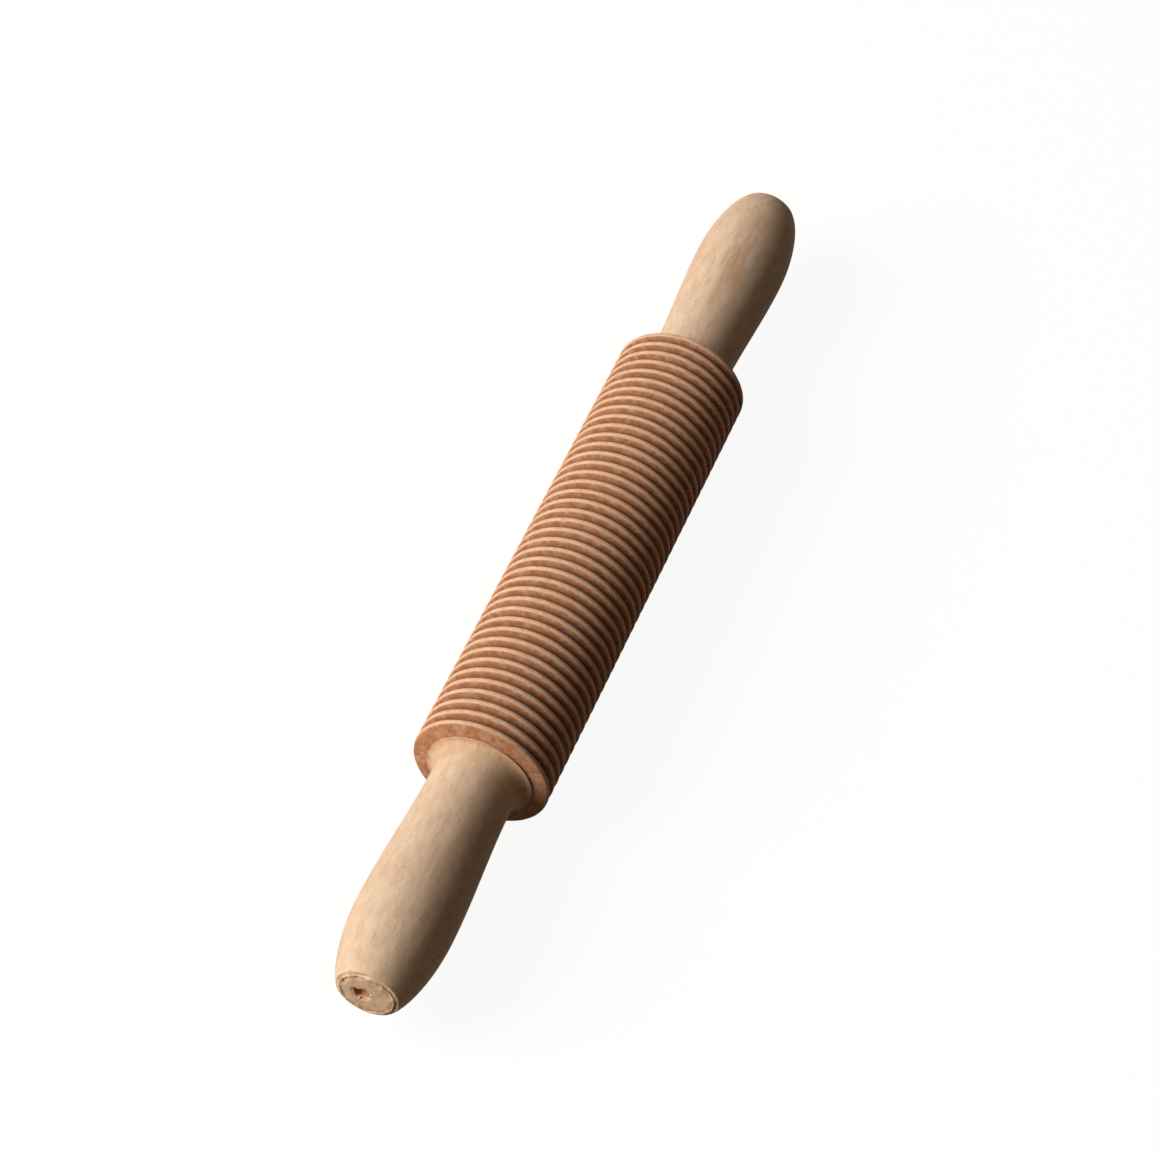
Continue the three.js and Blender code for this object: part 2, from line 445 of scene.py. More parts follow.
def other_end(piece, name):
    """A copy of a right-hand piece with its own mesh, turned half round to the pin's left end."""
    make_active(piece)
    bpy.ops.object.duplicate(linked=False)
    copy = bpy.context.object
    copy.name = name
    copy.data.name = name
    edit_all()
    bpy.ops.transform.rotate(value=math.pi, orient_axis="Z", center_override=(0, 0, 0))
    leave_editing()
    return copy


def finish_piece(piece, node, body, material):
    """Smooths the piece between its creases, gives it its material and sets it in the frame."""
    make_active(piece)
    bpy.ops.object.shade_smooth_by_angle(angle=CREASE_ANGLE)
    piece.data.materials.clear()
    piece.data.materials.append(material)
    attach(piece, body)
    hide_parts(node)


def finish_pair(right, node, body, material):
    """Finishes a right-hand piece, and a copy of it at the left end under the left-hand names."""
    left = other_end(right, right.name.replace("right", "left"))
    finish_piece(right, node, body, material)
    finish_piece(left, node.replace("right", "left"), body, material)


# Materials

# A Mix node set to colours takes its two colours at sockets 6 and 7
MIX = {"data_type": "RGBA"}
SMOOTH = {"interpolation_type": "SMOOTHSTEP"}
# A wave texture of scale 1 repeats at this distance
WAVE_PERIOD = math.tau / 20


def feed(node, **inputs):
    """Feeds a node's sockets with values, with other nodes' sockets, or with other nodes, of which it takes
    the first output in use. A socket is named by its label with _ for a space, or by in_ and its number."""
    for label, value in inputs.items():
        socket = node.inputs[int(label[3:]) if label.startswith("in_") else label.replace("_", " ")]
        if isinstance(value, bpy.types.Node):
            value = next(output for output in value.outputs if output.enabled)
        if isinstance(value, bpy.types.NodeSocket):
            node.id_data.links.new(value, socket)
        else:
            socket.default_value = value


def add_node(tree, kind, settings=None, **inputs):
    """Adds a shader node, sets its settings and feeds its sockets."""
    node = tree.nodes.new("ShaderNode" + kind)
    for setting, value in (settings or {}).items():
        setattr(node, setting, value)
    feed(node, **inputs)
    return node


def empty_tree(owner):
    """Gives a material or a world a node tree with nothing in it."""
    owner.use_nodes = True
    owner.node_tree.nodes.clear()
    return owner.node_tree


def new_material(name):
    """A material with its shader and its coordinates: the material, the shader, a function that adds a
    node to the material, and its object coordinates."""
    material = bpy.data.materials.new(name)
    add = partial(add_node, empty_tree(material))
    shader = add("BsdfPrincipled")
    add("OutputMaterial", Surface=shader)
    return material, shader, add, add("TexCoord").outputs["Object"]


def opaque(rgb):
    return (*rgb, 1)


def mottle(add, place, along, across, detail=2, roughness=0.5):
    """A mottled pattern whose cells are so many millimetres along and across the pin."""
    cells_per_metre = (1 / (along * MM), 1 / (across * MM), 1 / (across * MM))
    cells = add("Mapping", Vector=place, Scale=cells_per_metre)
    return add("TexNoise", Vector=cells, Scale=1, Detail=detail, Roughness=roughness)


def size_along(add, vector):
    """The size of a vector's part along the pin: for a place, how far it is from the pin's middle."""
    parts = add("SeparateXYZ", Vector=vector)
    return add("Math", {"operation": "ABSOLUTE"}, in_0=parts.outputs["X"])


def distance_from_axis(add, place):
    """How far a point of the surface lies from the pin's axis."""
    across = add("Mapping", Vector=place, Location=(0, 0, -AXIS_HEIGHT), Scale=(0, 1, 1))
    return add("VectorMath", {"operation": "LENGTH"}, Vector=across)


def beech(name, wood, streak, end, fleck, ring_spacing, pith, end_start):
    """Turned and sanded beech with no finish: pale and dry, with faint growth rings, fine lengthwise
    fibres and short brown rays, and more orange where a cut crosses the fibres, which begins where that
    share of the surface's normal lies along the pin. Returns what new_material does, and the node of the
    wood's colour."""
    material, shader, add, place = new_material(name)

    # Growth rings about a pith far off the pin's axis, drawn out along the grain
    log = add("Mapping", Vector=place, Location=pith, Scale=(0.12, 1, 1), Rotation=(0, 0.02, 0.03))
    rings = add(
        "TexWave", {"wave_type": "RINGS", "rings_direction": "X", "wave_profile": "SIN"}, Vector=log,
        Scale=WAVE_PERIOD / (ring_spacing * MM), Distortion=6, Detail=3, Detail_Scale=0.6,
    )
    ring_share = add("MapRange", SMOOTH, Value=rings.outputs["Fac"], From_Min=0.3, From_Max=1, To_Max=0.2)

    # Warm patches some 6 mm long and 2.5 mm wide, mottled down to a fifth of a millimetre
    patches = mottle(add, place, along=6, across=2.5, detail=4, roughness=0.6)
    patch_share = add("MapRange", Value=patches, From_Min=0.4, From_Max=0.7, To_Max=0.75)
    tone = add("Math", {"operation": "ADD"}, in_0=ring_share, in_1=patch_share)
    banded = add("Mix", MIX, Factor=tone, in_6=opaque(wood), in_7=opaque(streak))

    # Fibres: real ones are hundredths of a millimetre wide, and are drawn 0.4 mm wide so that they show
    fibres = mottle(add, place, along=4.5, across=0.4, detail=3, roughness=0.6)
    fibre_share = add("MapRange", Value=fibres, From_Min=0.4, From_Max=0.75, To_Max=0.55)
    fibrous = add("Mix", MIX, Factor=fibre_share, in_6=banded, in_7=opaque(streak))

    # Rays: soft brown dashes about 1.5 mm long and 0.3 mm wide
    rays = mottle(add, place, along=3, across=0.7, detail=1)
    ray_share = add("MapRange", SMOOTH, Value=rays, From_Min=0.62, From_Max=0.85, To_Max=0.5)
    flecked = add("Mix", MIX, Factor=ray_share, in_6=fibrous, in_7=opaque(fleck))

    # End grain, where the surface faces along the pin
    facing = size_along(add, place.node.outputs["Normal"])
    end_share = add("MapRange", SMOOTH, Value=facing, From_Min=end_start, From_Max=0.97, To_Max=0.95)
    pores = mottle(add, place, along=3, across=1.3, detail=4, roughness=0.65)
    pore_share = add("MapRange", Value=pores, From_Min=0.45, From_Max=0.8, To_Max=0.7)
    end_patched = add("Mix", MIX, Factor=patch_share, in_6=opaque(end), in_7=opaque(wood))
    end_wood = add("Mix", MIX, Factor=pore_share, in_6=end_patched, in_7=opaque(fleck))
    whole = add("Mix", MIX, Factor=end_share, in_6=flecked, in_7=end_wood)

    # The fibres stand a little and the rays lie in small dents, as after coarse sanding
    dented = add("Math", {"operation": "SUBTRACT"}, in_0=fibres, in_1=ray_share)
    relief = add("Bump", Strength=0.6, Distance=0.08 * MM, Height=dented)
    dryness = add("MapRange", Value=fibres, From_Min=0.3, From_Max=0.7, To_Min=0.68, To_Max=0.84)
    feed(shader, Roughness=dryness, Normal=relief, Specular_IOR_Level=0.12)
    return material, shader, add, place, whole


def handle_beech(colours, sizes):
    """Pale beech of the handles: torn brown and pale at the sawn rims, with one brown streak."""
    material, shader, add, place, wood = beech(
        "raw_beech_handle", colours.handle_wood, colours.handle_streak, colours.handle_end,
        colours.handle_fleck, ring_spacing=5, pith=(0, 0.043, 0.031), end_start=0.3,
    )
    scar = opaque(colours.handle_scar)
    from_middle = size_along(add, place)
    from_axis = distance_from_axis(add, place)
    end = sizes.end_diameter / 2

    # The streak: a ragged brown line some 45 mm long and 5 mm wide on top of the right handle
    wander = mottle(add, place, along=8, across=1.8, detail=4)
    streak_place = add(
        "Mapping", {"vector_type": "TEXTURE"}, Vector=place,
        Location=(122.5 * MM, -2 * MM, 34.5 * MM), Scale=(27 * MM, 5 * MM, 5 * MM),
    )
    streak_distance = add("VectorMath", {"operation": "LENGTH"}, Vector=streak_place)
    ragged = add("Math", {"operation": "MULTIPLY_ADD"}, in_0=wander, in_1=2, in_2=streak_distance)
    streak_share = add("MapRange", SMOOTH, Value=ragged, From_Min=2.1, From_Max=0.7, To_Max=0.62)
    streaked = add("Mix", MIX, Factor=streak_share, in_6=wood, in_7=scar)

    # The coves: brown blotches some 3 mm wide where the tool has torn the fibres beside the barrel
    in_cove = add(
        "MapRange", SMOOTH, Value=from_middle, From_Min=HANDLE_START + 1.1 * sizes.cove_length,
        From_Max=HANDLE_START + 0.3 * sizes.cove_length,
    )
    blotches = mottle(add, place, along=4, across=3, detail=4, roughness=0.6)
    blotch_share = add("MapRange", Value=blotches, From_Min=0.3, From_Max=0.7, To_Min=0.2, To_Max=0.5)
    cove_share = add("Math", {"operation": "MULTIPLY"}, in_0=in_cove, in_1=blotch_share)
    blotched = add("Mix", MIX, Factor=cove_share, in_6=streaked, in_7=scar)

    # The torn rims: scraps of brown and of pale wood over the last millimetre
    near_end = add(
        "MapRange", Value=from_middle, From_Min=HANDLE_END - 1.5 * MM, From_Max=HANDLE_END - 0.7 * MM
    )
    on_rim = add(
        "MapRange", Value=from_axis, From_Min=end - 1.4 * sizes.rim_width,
        From_Max=end - 0.5 * sizes.rim_width,
    )
    rim = add("Math", {"operation": "MULTIPLY"}, in_0=near_end, in_1=on_rim)
    scrap_width = sizes.rim_scrap / MM
    scraps = mottle(add, place, along=scrap_width, across=scrap_width, detail=5, roughness=0.7)
    scrap_share = add("MapRange", Value=scraps, From_Min=0.51, From_Max=0.65, To_Max=0.75)
    torn = add("Math", {"operation": "MULTIPLY"}, in_0=rim, in_1=scrap_share)
    rimmed = add("Mix", MIX, Factor=torn, in_6=blotched, in_7=scar)

    # Painted shade in the lathe's hole, the only surface so near the axis under the sawn face: darker as it
    # deepens
    sunk = add(
        "MapRange", Value=from_middle, From_Min=HANDLE_END - 0.8 * MM,
        From_Max=HANDLE_END - 0.6 * sizes.hole_depth, To_Max=0.7,
    )
    inside = add("MapRange", Value=from_axis, From_Min=end - 2 * MM, From_Max=end - 2.5 * MM)
    hole_shade_share = add("Math", {"operation": "MULTIPLY"}, in_0=sunk, in_1=inside)
    whole = add("Mix", MIX, Factor=hole_shade_share, in_6=rimmed, in_7=opaque(colours.handle_hole_shade))
    feed(shader, Base_Color=whole)
    return material


def barrel_beech(colours, crest_radius, groove_depth, last_crest):
    """Redder steamed beech of the barrel: crests sanded pale, and grooves darkened, partly as darker cut
    wood and partly as painted shade.
    """
    material, shader, add, place, wood = beech(
        "raw_beech_barrel", colours.barrel_wood, colours.barrel_streak, colours.barrel_end,
        colours.barrel_fleck, ring_spacing=4, pith=(0, -0.05, 0.04), end_start=0.45,
    )

    # Painted shade, with some darker cut wood: darker down the grooves, but not down the end faces, which
    # lie beyond the last crests
    groove_shade_depth_share = add(
        "MapRange", Value=distance_from_axis(add, place), From_Min=crest_radius - 0.1 * groove_depth,
        From_Max=crest_radius - groove_depth, To_Max=0.9,
    )
    between_ends = add("Math", {"operation": "LESS_THAN"}, in_0=size_along(add, place), in_1=last_crest)
    groove_shade_share = add("Math", {"operation": "MULTIPLY"}, in_0=groove_shade_depth_share, in_1=between_ends)
    groove_shaded = add("Mix", MIX, Factor=groove_shade_share, in_6=wood, in_7=opaque(colours.barrel_groove_and_shade))
    feed(shader, Base_Color=groove_shaded)
    return material


def turned_steel(colours):
    """Turned mild steel: a dull grey metal with the fine rings that a lathe tool leaves."""
    material, shader, add, place = new_material("turned_steel")
    marks = mottle(add, place, along=0.3, across=40)
    gloss = add("MapRange", Value=marks, From_Min=0.3, From_Max=0.7, To_Min=0.26, To_Max=0.42)
    relief = add("Bump", Strength=0.4, Distance=0.02 * MM, Height=marks)
    feed(shader, Base_Color=opaque(colours.steel), Metallic=1, Roughness=gloss, Normal=relief)
    return material


def moulded_nylon(colours):
    """Natural moulded nylon: a milky, slightly cloudy plastic with a soft sheen."""
    material, shader, add, place = new_material("moulded_nylon")
    clouds = mottle(add, place, along=4, across=4)
    milky = add("Mix", MIX, Factor=clouds, in_6=opaque(colours.nylon), in_7=opaque(colours.nylon_shade))
    grain = mottle(add, place, along=0.3, across=0.3)
    relief = add("Bump", Strength=0.3, Distance=0.02 * MM, Height=grain)
    feed(shader, Base_Color=milky, Roughness=0.42, IOR=1.53, Normal=relief)
    return material


def cut_brass(colours):
    """Machined brass: a warm metal, duller in patches where it has tarnished."""
    material, shader, add, place = new_material("cut_brass")
    patches = mottle(add, place, along=3, across=3, detail=3)
    tarnish = add("MapRange", Value=patches, From_Min=0.45, From_Max=0.75, To_Max=0.8)
    surface = add(
        "Mix", MIX, Factor=tarnish, in_6=opaque(colours.brass), in_7=opaque(colours.brass_tarnish)
    )
    gloss = add("MapRange", Value=patches, From_Min=0.3, From_Max=0.7, To_Min=0.24, To_Max=0.46)
    feed(shader, Base_Color=surface, Metallic=1, Roughness=gloss)
    return material


# Pieces

class PIN_OT_cutter_barrel(bpy.types.Operator):
    """Model the ridged barrel: one ridge arrayed, end ridges drawn on, bored and spun"""

    bl_idname = "rolling_pin.cutter_barrel"
    bl_label = "Ridged barrel"

    def execute(self, context):
        sizes = context.scene.pin_barrel
        crest = barrel_high.z - AXIS_HEIGHT
        root = crest - sizes.groove_depth
        half_pitch = sizes.ridge_pitch / 2
        half_base = sizes.base_width / 2
        half_crest = sizes.crest_width / 2

        def ridge_side(centre):
            return [
                (centre - half_pitch, root),
                (centre - half_base, root, sizes.root_round),
                (centre - half_crest, crest, sizes.crest_round),
            ]

        last = (sizes.ridge_count - 1) / 2 * sizes.ridge_pitch
        second = sizes.ridge_pitch - last
        other_side = [(2 * second - x, *rest) for x, *rest in reversed(ridge_side(second))]
        ridge = rounded([*ridge_side(second), *other_side], steps=3)
        barrel = start_outline("beech_barrel", ridge[0])
        draw_outline(ridge)
        leave_editing()
        apply_modifier(
            barrel, "ARRAY", count=sizes.ridge_count - 2, use_relative_offset=False,
            use_constant_offset=True, constant_offset_displace=(sizes.ridge_pitch, 0, 0),
            use_merge_vertices=True, merge_threshold=SAME_POINT,
        )

        recess = sizes.recess_diameter / 2
        recess_end = BARREL_END - sizes.recess_depth
        seat = sizes.seat_diameter / 2
        seat_end = BARREL_END - sizes.seat_depth
        right_end = [
            *ridge_side(last),
            (last + half_crest, crest, sizes.end_round),
            (BARREL_END, sizes.end_face / 2),
            (BARREL_END, recess, sizes.recess_round),
            (recess_end, recess),
            (recess_end, seat),
            (seat_end, seat),
            (seat_end, sizes.channel_diameter / 2),
        ]
        edit_all()
        select_points(lambda place: place.x > last - half_pitch - SAME_POINT)
        draw_outline(rounded([*right_end, *mirrored(right_end)], steps=4))
        spin_outline(steps=120)
        wear_down(barrel, sizes.wear_depth, sizes.wear_size)
        material = barrel_beech(context.scene.pin_colours, crest, sizes.groove_depth, last)
        finish_piece(barrel, "cutter_barrel", "barrel", material)
        return {"FINISHED"}


class PIN_OT_handles(bpy.types.Operator):
    """Model the two handles: a spun outline, a torn rim and the lathe's marks in the end"""

    bl_idname = "rolling_pin.handles"
    bl_label = "Handles"

    def outside(self, sizes):
        """The handle's outside from the collar's edge to the middle of its end."""
        collar = sizes.collar_diameter / 2
        neck = sizes.neck_diameter / 2
        swell = sizes.swell_diameter / 2
        end = sizes.end_diameter / 2
        cove_start = HANDLE_START + sizes.collar_lip
        cove_end = HANDLE_START + sizes.cove_length
        swell_start = HANDLE_START + sizes.swell_share * (HANDLE_END - HANDLE_START)
        cove_steps, neck_steps, crown_steps = 12, 16, 28
        outline = []
        for i in range(cove_steps):
            turn = i / cove_steps * math.pi / 2
            x = cove_end - (cove_end - cove_start) * math.cos(turn)
            outline.append((x, collar - (collar - neck) * math.sin(turn)))
        for i in range(neck_steps):
            along = i / neck_steps
            rise = along * along * (3 - 2 * along)
            outline.append((cove_end + along * (swell_start - cove_end), neck + rise * (swell - neck)))
        for i in range(crown_steps + 1):
            along = math.sin(i / crown_steps * math.pi / 2)
            width = (1 - along * along) ** sizes.crown_power
            outline.append((swell_start + along * (HANDLE_END - swell_start), end + width * (swell - end)))
        face = HANDLE_END - sizes.rim_height
        rim_steps, face_steps = 4, 14
        for i in range(1, rim_steps + 1):
            outline.append((HANDLE_END, end - sizes.rim_width * i / rim_steps))
        inner = end - sizes.rim_width - sizes.rim_slope
        for i in range(face_steps + 1):
            outline.append((face, inner * (1 - i / face_steps)))
        return outline

    def execute(self, context):
        sizes = context.scene.pin_handle
        tip_hole = sizes.tip_hole_diameter / 2
        tip_hole_end = HANDLE_START + sizes.tip_hole_depth
        insert_seat = sizes.insert_seat_diameter / 2
        insert_seat_end = HANDLE_START + sizes.insert_seat_depth
        flange_seat = sizes.flange_seat_diameter / 2
        flange_seat_end = HANDLE_START + sizes.flange_seat_depth
        bore = [
            (tip_hole_end, 0),
            (tip_hole_end, tip_hole),
            (insert_seat_end, tip_hole),
            (insert_seat_end, insert_seat),
            (flange_seat_end, insert_seat),
            (flange_seat_end, flange_seat),
            (HANDLE_START, flange_seat),
            (HANDLE_START, sizes.collar_diameter / 2),
        ]
        right = turn_piece("beech_handle_right", [*bore, *self.outside(sizes)], steps=144)
        left = other_end(right, "beech_handle_left")
        material = handle_beech(context.scene.pin_colours, sizes)
        for handle, node, side in ((right, "handle_right", 1), (left, "handle_left", -1)):
            self.tear_end(handle, sizes, side)
            self.mark_end(handle, sizes, side)
            finish_piece(handle, node, "grip", material)
        return {"FINISHED"}

    def tear_end(self, handle, sizes, side):
        """Wears the end's rim and, less, its face unevenly, as a saw leaves them."""
        inner = sizes.end_diameter / 2 - sizes.rim_width - SAME_POINT
        end_zone = 3 * sizes.rim_height

        def on_end(place):
            return side * place.x > HANDLE_END - end_zone

        def on_rim(place):
            return on_end(place) and math.hypot(place.y, place.z - AXIS_HEIGHT) > inner

        self.wear_where(handle, "rim", on_rim, sizes.rim_wear, sizes.rim_scrap)
        self.wear_where(handle, "end", on_end, sizes.face_wear, sizes.rim_scrap)

    def wear_where(self, handle, name, test, depth, size):
        """Wears the handle where a point's place passes the test."""
        make_active(handle)
        group = handle.vertex_groups.new(name=name)
        edit_all()
        select_points(test)
        bpy.ops.object.vertex_group_set_active(group=group.name)
        bpy.ops.object.vertex_group_assign()
        leave_editing()
        wear_down(handle, depth, size, group.name)

    def mark_end(self, handle, sizes, side):
        """Cuts the four-sided hole of the lathe's centre and the slit of its spur, and wears its mouth."""
        middle = Vector((side * HANDLE_END, -side * sizes.hole_offset, AXIS_HEIGHT))
        mouth = sizes.hole_width / math.sqrt(2)
        bottom = 0.9 * mouth
        sunk = 0.4 * sizes.hole_depth
        slit_depth = 0.25 * sizes.hole_depth

        # The cutter's wide end stands a little out of the handle, so that the cut leaves no skin
        deselect_everything()
        bpy.ops.mesh.primitive_cone_add(vertices=4, radius1=bottom, radius2=mouth, depth=sizes.hole_depth)
        hole = bpy.context.object
        edit_all()
        bpy.ops.mesh.bevel(offset=sizes.hole_round, segments=3)
        bpy.ops.mesh.select_all(action="SELECT")
        turns = (("Z", math.pi / 4), ("Y", -side * math.pi / 2), ("X", -side * sizes.hole_turn))
        for axis, turn in turns:
            bpy.ops.transform.rotate(value=turn, orient_axis=axis, center_override=(0, 0, 0))
        bpy.ops.transform.translate(value=middle - Vector((side * sunk, 0, 0)))
        leave_editing()
        combine(handle, hole, "DIFFERENCE")

        slit_middle = middle - Vector((0, 0, sizes.slit_length / 2))
        slit_size = (2 * slit_depth, sizes.slit_width, sizes.slit_length)
        combine(handle, block(slit_middle, slit_size), "DIFFERENCE")

        def on_mouth(place):
            return (place - middle).length < mouth

        self.wear_where(handle, "hole", on_mouth, sizes.hole_wear, mouth / 2)


class PIN_OT_axle(bpy.types.Operator):
    """Model the axle: a turned shank with a screw thread wound on each tip"""

    bl_idname = "rolling_pin.axle"
    bl_label = "Axle"

    def execute(self, context):
        sizes = context.scene.pin_hardware
        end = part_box("axle_rod")[1].x
        crest = sizes.tip_diameter / 2
        root = crest - sizes.tip_thread
        shank_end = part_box("insert_right")[0].x - sizes.shank_gap
        half = [
            (shank_end, sizes.axle_diameter / 2, sizes.edge_round),
            (shank_end, root, sizes.corner_round),
            (end - sizes.tip_chamfer, root),
            (end, root - sizes.tip_chamfer / 2),
            (end, 0),
        ]
        axle = turn_piece("steel_axle", rounded([*mirrored(half), *half], steps=3), steps=64)

        # The thread leaves some turns of each tip plain, half of them beside the shank
        plain_turns = 3
        turns = int((end - shank_end) / sizes.tip_pitch) - plain_turns
        start = shank_end + plain_turns / 2 * sizes.tip_pitch
        for first in (start, -start - turns * sizes.tip_pitch):
            combine(axle, wind_thread(first, turns, sizes.tip_pitch, root, crest), "UNION")
        material = turned_steel(context.scene.pin_colours)
        finish_piece(axle, "axle_rod", "grip", material)
        return {"FINISHED"}


class PIN_OT_bushes(bpy.types.Operator):
    """Model the two flanged bushes, with the ribs that grip the barrel"""

    bl_idname = "rolling_pin.bushes"
    bl_label = "Bushes"

    def execute(self, context):
        sizes = context.scene.pin_hardware
        low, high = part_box("bush_right")
        bore = sizes.bush_bore / 2
        wall = sizes.bush_diameter / 2 - sizes.bush_rib
        flange = sizes.flange_diameter / 2
        shoulder = high.x - sizes.flange_thickness
        lead_in = 2 * sizes.edge_round
        corners = [
            (low.x, (bore + wall) / 2),
            (low.x, wall, lead_in),
            (shoulder, wall, sizes.corner_round),
            (shoulder, flange, sizes.edge_round),
            (high.x, flange, sizes.edge_round),
            (high.x, bore, sizes.edge_round),
            (low.x, bore, sizes.edge_round),
            (low.x, (bore + wall) / 2),
        ]
        right = turn_piece("nylon_bush_right", rounded(corners, steps=4), steps=72)

        # The wall is flat-sided, so its faces have their middles a little nearer the axis than its edges
        near_wall = 0.98 * wall
        corner_start = shoulder - 2 * sizes.corner_round

        def on_rib(middle):
            radius = math.hypot(middle.y, middle.z - AXIS_HEIGHT)
            turn = math.atan2(middle.z - AXIS_HEIGHT, middle.y) / math.tau * sizes.rib_count
            return radius > near_wall and middle.x < corner_start and turn % 1 < sizes.rib_share

        make_active(right)
        edit_all()
        select_faces(on_rib)
        bpy.ops.mesh.extrude_region_shrink_fatten(TRANSFORM_OT_shrink_fatten={"value": sizes.bush_rib})
        close_mesh()
        material = moulded_nylon(context.scene.pin_colours)
        finish_pair(right, "bush_right", "barrel", material)
        return {"FINISHED"}


class PIN_OT_washers(bpy.types.Operator):
    """Model the two thrust washers, rolled over on one side as a punch leaves them"""

    bl_idname = "rolling_pin.washers"
    bl_label = "Washers"

    def execute(self, context):
        sizes = context.scene.pin_hardware
        low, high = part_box("washer_right")
        bore = sizes.bush_bore / 2
        edge = sizes.flange_diameter / 2
        rolled = 1.5 * sizes.edge_round
        sharp = 0.3 * sizes.edge_round
        corners = [
            (low.x, (bore + edge) / 2),
            (low.x, edge, rolled),
            (high.x, edge, sharp),
            (high.x, bore, sharp),
            (low.x, bore, rolled),
            (low.x, (bore + edge) / 2),
        ]
        right = turn_piece("steel_washer_right", rounded(corners, steps=4), steps=72)
        material = bpy.data.materials.get("turned_steel") or turned_steel(context.scene.pin_colours)
        finish_pair(right, "washer_right", "grip", material)
        return {"FINISHED"}


class PIN_OT_inserts(bpy.types.Operator):
    """Model the two screw inserts, with a wood thread outside and a driver slot in the flange"""

    bl_idname = "rolling_pin.inserts"
    bl_label = "Inserts"

    def execute(self, context):
        sizes = context.scene.pin_hardware
        low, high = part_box("insert_right")
        bore = sizes.insert_bore / 2
        crest = sizes.insert_diameter / 2
        root = crest - sizes.insert_thread
        flange = sizes.insert_flange / 2
        flange_end = low.x + sizes.flange_thickness
        corners = [
            (low.x, (bore + flange) / 2),
            (low.x, flange, sizes.edge_round),
            (flange_end, flange, sizes.edge_round),
            (flange_end, root, sizes.corner_round),
            (high.x, root, sizes.edge_round),
            (high.x, bore, sizes.edge_round),
            (low.x, bore, sizes.edge_round),
            (low.x, (bore + flange) / 2),
        ]
        right = turn_piece("brass_insert_right", rounded(corners, steps=4), steps=64)

        # The thread starts clear of the flange and stops short of the insert's end
        turns = int((high.x - flange_end) / sizes.insert_pitch) - 1
        start = flange_end + 0.8 * sizes.insert_pitch
        combine(right, wind_thread(start, turns, sizes.insert_pitch, root, crest), "UNION")

        # The block that cuts the slot lies half outside the flange and reaches past its edge
        slot_length = 3 * flange
        slot_size = (2 * sizes.slot_depth, slot_length, sizes.slot_width)
        combine(right, block((low.x, 0, AXIS_HEIGHT), slot_size), "DIFFERENCE")
        material = cut_brass(context.scene.pin_colours)
        finish_pair(right, "insert_right", "grip", material)
        return {"FINISHED"}


# Studio

def seen_directly(add):
    """1 for what the camera, a reflection or glass sees, and 0 for light that bounces on."""
    path = add("LightPath")
    rays = [path.outputs[f"Is {kind} Ray"] for kind in ("Camera", "Glossy", "Transmission")]
    seen = add("Math", {"operation": "ADD"}, in_0=rays[0], in_1=rays[1])
    return add("Math", {"operation": "ADD", "use_clamp": True}, in_0=seen, in_1=rays[2])


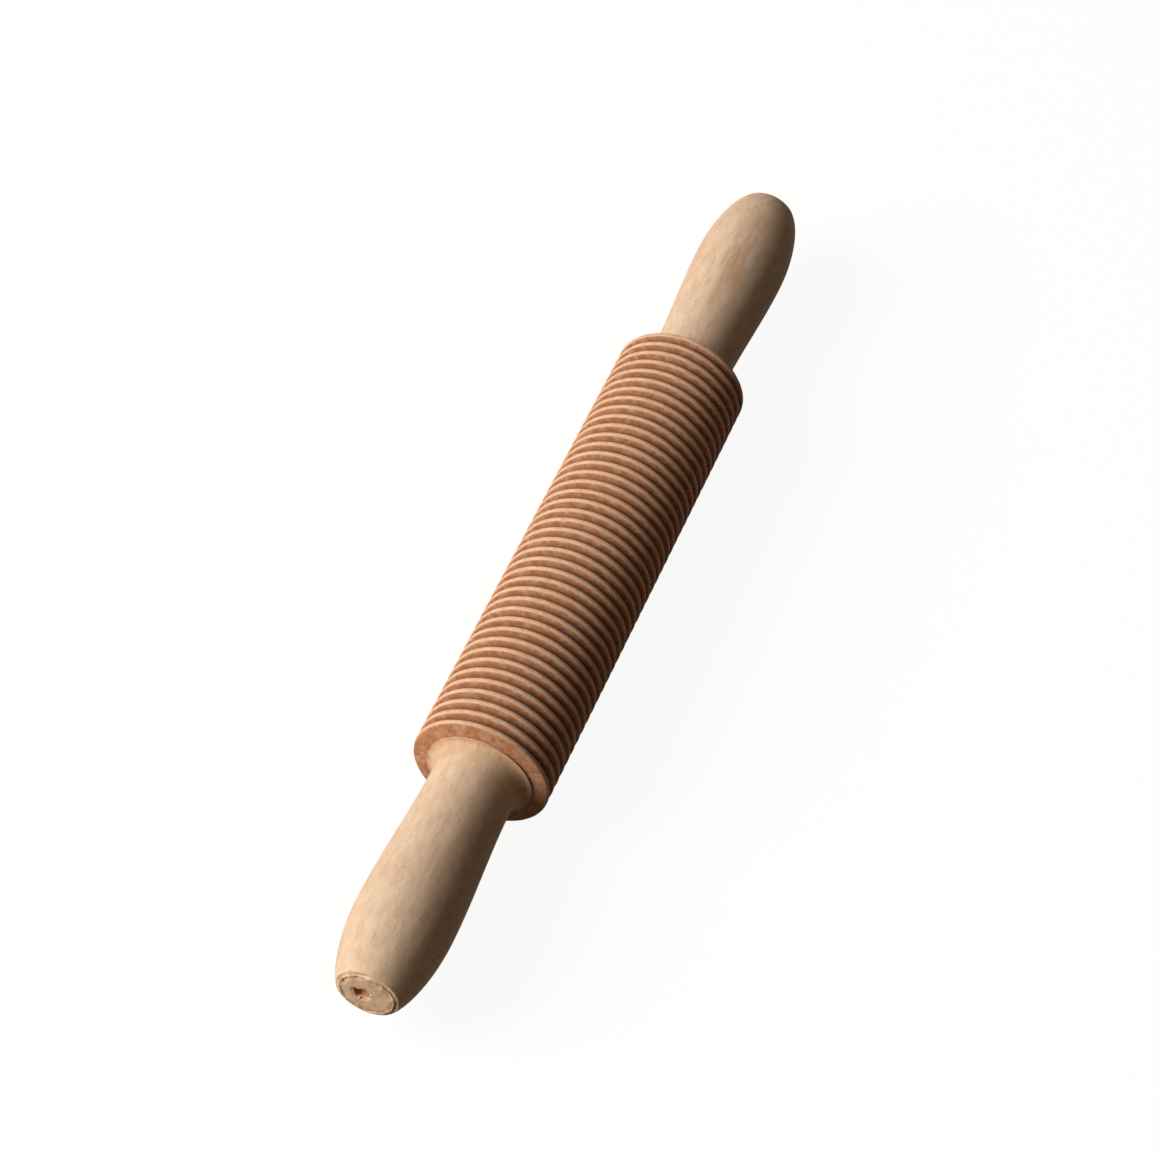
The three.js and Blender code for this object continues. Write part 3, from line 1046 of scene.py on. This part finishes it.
class PIN_OT_studio(bpy.types.Operator):
    """Set up the pale floor, the soft light and the camera"""

    bl_idname = "rolling_pin.studio"
    bl_label = "Studio"

    def execute(self, context):
        settings = context.scene.pin_studio
        self.lay_floor(settings)
        self.light_world(context.scene, settings)
        self.hang_key(settings)
        self.set_camera(context.scene, settings)
        context.scene.view_settings.view_transform = "Standard"
        return {"FINISHED"}

    def lay_floor(self, settings):
        deselect_everything()
        bpy.ops.mesh.primitive_plane_add(size=settings.floor_size)
        floor = bpy.context.object
        floor.name = "floor"
        material = bpy.data.materials.new("matt_paper_floor")
        add = partial(add_node, empty_tree(material))
        paper = add("BsdfDiffuse", Color=opaque(settings.floor))
        glow = add("Emission", Strength=settings.floor_glow)
        lit = add("AddShader", in_0=paper, in_1=glow)
        shown = add("MixShader", Fac=seen_directly(add), in_1=paper, in_2=lit)
        add("OutputMaterial", Surface=shown)
        floor.data.materials.append(material)

    def light_world(self, scene, settings):
        world = bpy.data.worlds.new("white_studio")
        add = partial(add_node, empty_tree(world))
        fill = add("Background", Color=opaque(settings.fill_tint), Strength=settings.fill)
        backdrop = add("Background", Color=(1, 1, 1, 1), Strength=1)
        shown = add("MixShader", Fac=seen_directly(add), in_1=fill, in_2=backdrop)
        add("OutputWorld", Surface=shown)
        scene.world = world

    def hang_key(self, settings):
        deselect_everything()
        towards = Vector(settings.key_direction).normalized()
        aim = towards.to_track_quat("Z", "Y").to_euler()
        bpy.ops.object.light_add(type="AREA", location=towards * settings.key_distance, rotation=aim)
        lamp = bpy.context.object.data
        lamp.shape = "SQUARE"
        lamp.size = settings.key_size
        lamp.energy = settings.key_power

    def set_camera(self, scene, settings):
        deselect_everything()
        turn, rise = settings.azimuth, settings.elevation
        back = Vector((math.sin(turn) * math.cos(rise), -math.cos(turn) * math.cos(rise), math.sin(rise)))
        bpy.ops.object.camera_add(
            location=Vector(settings.target) + back * settings.distance,
            rotation=(math.pi / 2 - rise, 0, turn),
        )
        camera = bpy.context.object
        camera.data.lens = settings.lens
        camera.data.sensor_width = SENSOR_WIDTH
        scene.camera = camera


class PIN_PT_sidebar(bpy.types.Panel):
    """Lists the pin's operators and its settings"""

    bl_idname = "PIN_PT_sidebar"
    bl_label = "Rolling pin"
    bl_space_type = "VIEW_3D"
    bl_region_type = "UI"
    bl_category = "Rolling pin"

    def draw(self, context):
        for operator in OPERATORS:
            self.layout.operator(operator.bl_idname)
        for settings_name in SETTINGS:
            settings = getattr(context.scene, settings_name)
            box = self.layout.box()
            for setting in settings.bl_rna.properties:
                if setting.identifier not in ("rna_type", "name"):
                    box.prop(settings, setting.identifier)


SETTINGS = {
    "pin_barrel": BarrelSizes,
    "pin_handle": HandleSizes,
    "pin_hardware": HardwareSizes,
    "pin_colours": PinColours,
    "pin_studio": StudioSettings,
}
OPERATORS = (
    PIN_OT_cutter_barrel,
    PIN_OT_handles,
    PIN_OT_axle,
    PIN_OT_bushes,
    PIN_OT_washers,
    PIN_OT_inserts,
    PIN_OT_studio,
)
CLASSES = (*SETTINGS.values(), *OPERATORS, PIN_PT_sidebar)
register_classes, unregister_classes = bpy.utils.register_classes_factory(CLASSES)


def register():
    register_classes()
    for settings_name, group in SETTINGS.items():
        setattr(bpy.types.Scene, settings_name, PointerProperty(type=group))


def unregister():
    for settings_name in SETTINGS:
        delattr(bpy.types.Scene, settings_name)
    unregister_classes()


def main():
    register()
    bpy.ops.rolling_pin.cutter_barrel()
    bpy.ops.rolling_pin.handles()
    bpy.ops.rolling_pin.axle()
    bpy.ops.rolling_pin.bushes()
    bpy.ops.rolling_pin.washers()
    bpy.ops.rolling_pin.inserts()
    bpy.ops.rolling_pin.studio()


if __name__ == "__main__":
    main()
